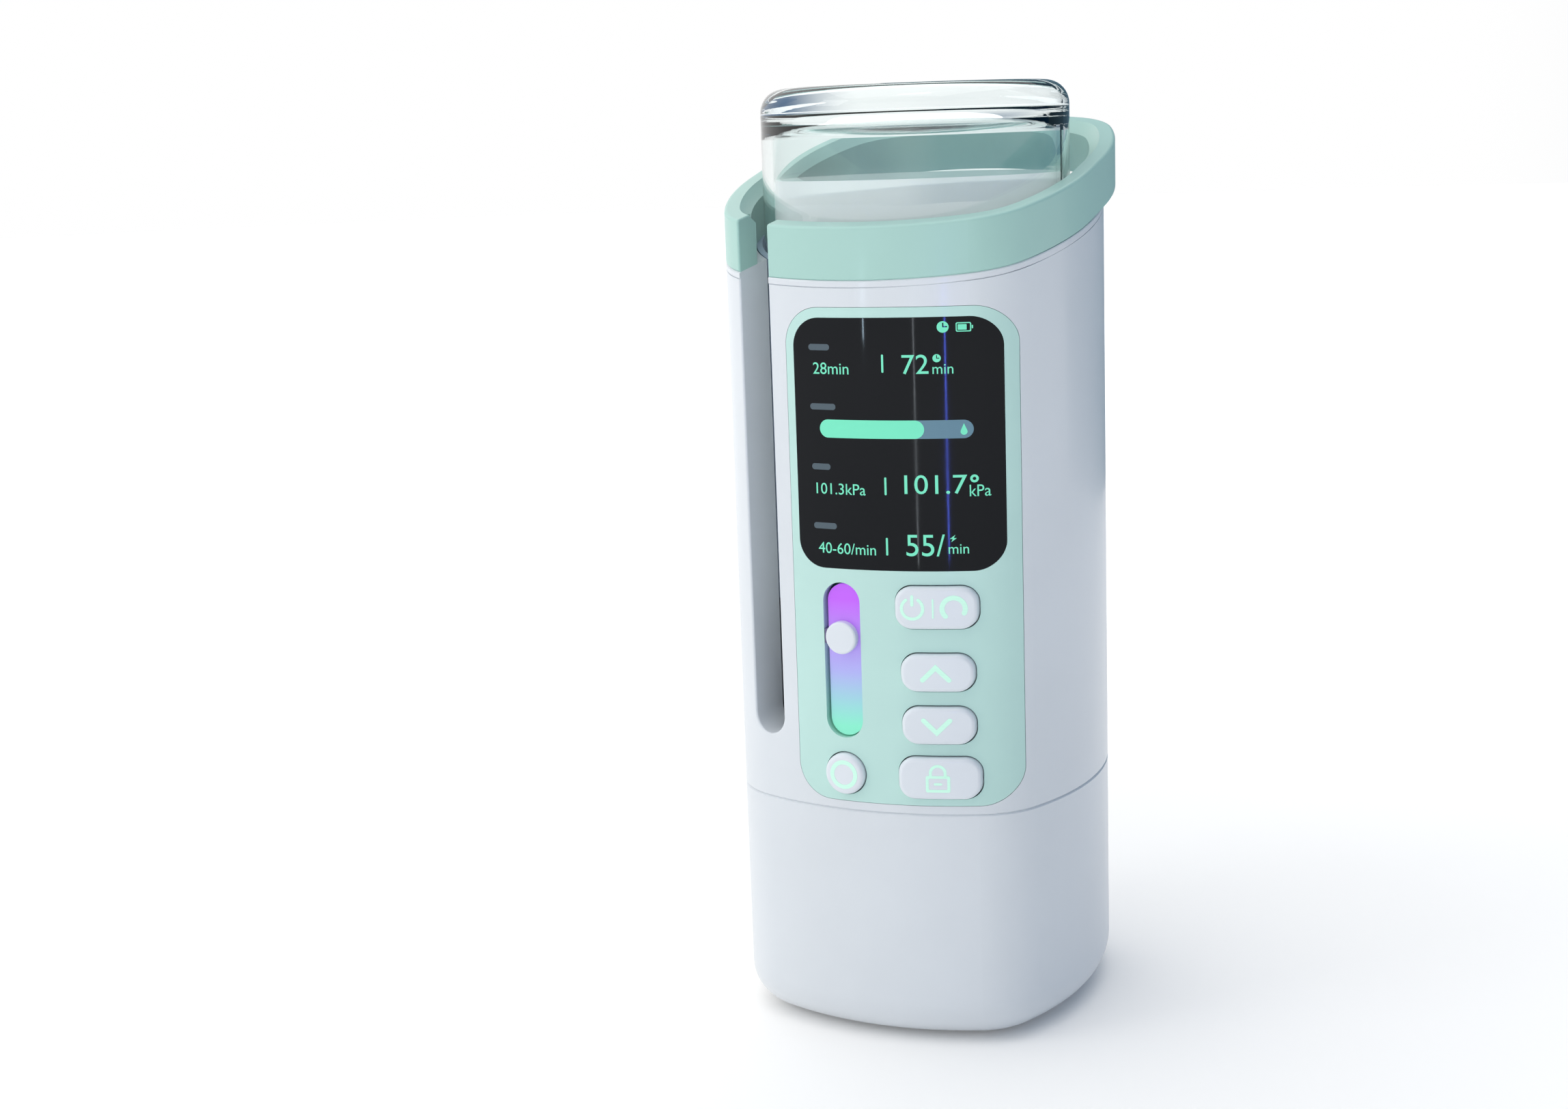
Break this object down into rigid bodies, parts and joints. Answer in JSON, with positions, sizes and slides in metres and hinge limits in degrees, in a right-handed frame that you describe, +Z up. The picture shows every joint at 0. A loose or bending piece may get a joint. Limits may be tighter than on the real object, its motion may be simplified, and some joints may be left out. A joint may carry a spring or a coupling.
{
  "type": "portable infusion pump",
  "caption": "Upright infusion pump that carries an inverted glass bottle, with a sloping carry collar, a bowed control panel with screen, keys and slider, and a pump in its base.",
  "frame": {"origin": "on the standing surface, under the middle of the casing", "axes": "+Z up, the control panel faces -Y, +X to the right of someone facing the panel"},
  "size_m": [0.092, 0.1075, 0.2365],
  "materials": {
    "white_shell": "fine satin moulding",
    "mint_shell": "fine satin moulding",
    "mint_panel": "smooth satin",
    "black_glass": "polished black",
    "display": "dark panel",
    "light_guide": "translucent diffuser",
    "key_grey": "fine satin moulding",
    "clear_glass": "clear soda glass",
    "clear_liquid": "clear water-like liquid",
    "rubber_grey": "matt",
    "cap_metal": "brushed",
    "steel": "machined",
    "motor_metal": "drawn can",
    "board_green": "solder mask",
    "chip_black": "moulded package",
    "inner_plastic": "plain moulding",
    "pump_plastic": "plain moulding",
    "silicone": "translucent silicone",
    "cell_wrap": "shrink wrap",
    "liner_grey": "satin moulding",
    "light_flex": "polyimide flex"
  },
  "bodies": {
    "body": {"base_cup": "white_shell", "foot_pad": "rubber_grey", "main_shell": "white_shell", "seat_plate": "white_shell", "carry_collar": "mint_shell", "peg_clips": "steel", "case_screws": "steel", "control_panel": "mint_panel", "screen_lens": "black_glass", "display_module": "display", "key_switches": "steel", "front_board": "board_green", "slider_light_guide": "light_guide", "position_strip": "chip_black", "bottle_well": "liner_grey", "neck_gasket": "rubber_grey", "deck_plate": "inner_plastic", "piercing_spike": "pump_plastic", "pump_housing": "pump_plastic", "pump_cover": "pump_plastic", "pump_screws": "steel", "pump_tube": "silicone", "gearbox": "motor_metal", "motor_can": "motor_metal", "motor_pad": "rubber_grey", "inlet_hose": "silicone", "outlet_hose": "silicone", "air_sensor": "chip_black", "outlet_fitting": "pump_plastic", "battery_cells": "cell_wrap", "battery_cradle": "inner_plastic", "main_board": "board_green", "board_chips": "chip_black", "buzzer": "chip_black", "display_flex": "light_flex", "charge_board": "board_green", "charge_socket": "steel"},
    "slider": {"slider_knob": "key_grey", "slider_carriage": "inner_plastic"},
    "bottle": {"glass_bottle": "clear_glass", "infusion_liquid": "clear_liquid", "rubber_stopper": "rubber_grey", "crimp_cap": "cap_metal"},
    "rotor": {"pump_rotor": "pump_plastic", "roller_pins": "steel", "drive_shaft": "steel"},
    "first_roller": {"roller_one": "inner_plastic"},
    "second_roller": {"roller_two": "inner_plastic"},
    "third_roller": {"roller_three": "inner_plastic"},
    "power_key_cap": {"power_key": "key_grey"},
    "up_key_cap": {"up_key": "key_grey"},
    "down_key_cap": {"down_key": "key_grey"},
    "lock_key_cap": {"lock_key": "key_grey"},
    "round_key_cap": {"round_key": "key_grey"}
  },
  "joints": [
    {"name": "power_press", "type": "slide", "parent": "body", "child": "power_key_cap", "axis": [0, 1, 0], "range_m": [0, 0.0007], "stiffness_N_per_m": 600, "springref_m": -0.0006},
    {"name": "up_press", "type": "slide", "parent": "body", "child": "up_key_cap", "axis": [0, 1, 0], "range_m": [0, 0.0007], "stiffness_N_per_m": 600, "springref_m": -0.0006},
    {"name": "down_press", "type": "slide", "parent": "body", "child": "down_key_cap", "axis": [0, 1, 0], "range_m": [0, 0.0007], "stiffness_N_per_m": 600, "springref_m": -0.0006},
    {"name": "lock_press", "type": "slide", "parent": "body", "child": "lock_key_cap", "axis": [0, 1, 0], "range_m": [0, 0.0007], "stiffness_N_per_m": 600, "springref_m": -0.0006},
    {"name": "round_press", "type": "slide", "parent": "body", "child": "round_key_cap", "axis": [0, 1, 0], "range_m": [0, 0.0007], "stiffness_N_per_m": 600, "springref_m": -0.0006},
    {"name": "slider_travel", "type": "slide", "parent": "body", "child": "slider", "axis": [0, 0, 1], "range_m": [-0.0188, 0.007]},
    {"name": "bottle_lift", "type": "slide", "parent": "body", "child": "bottle", "axis": [0, 0, 1], "range_m": [0, 0.19]},
    {"name": "rotor_spin", "type": "hinge", "parent": "body", "child": "rotor", "pos_m": [0.024, 0, 0.043], "axis": [0, 0, 1], "continuous": true},
    {"name": "first_roller_spin", "type": "hinge", "parent": "rotor", "child": "first_roller", "pos_m": [0.0322, 0, 0.043], "axis": [0, 0, 1], "continuous": true},
    {"name": "second_roller_spin", "type": "hinge", "parent": "rotor", "child": "second_roller", "pos_m": [0.0199, 0.0071, 0.043], "axis": [0, 0, 1], "continuous": true},
    {"name": "third_roller_spin", "type": "hinge", "parent": "rotor", "child": "third_roller", "pos_m": [0.0199, -0.0071, 0.043], "axis": [0, 0, 1], "continuous": true}
  ],
  "couplings": [
    {"joint": "first_roller_spin", "follows": "rotor_spin", "ratio": -3.1579},
    {"joint": "second_roller_spin", "follows": "rotor_spin", "ratio": -3.1579},
    {"joint": "third_roller_spin", "follows": "rotor_spin", "ratio": -3.1579}
  ]
}
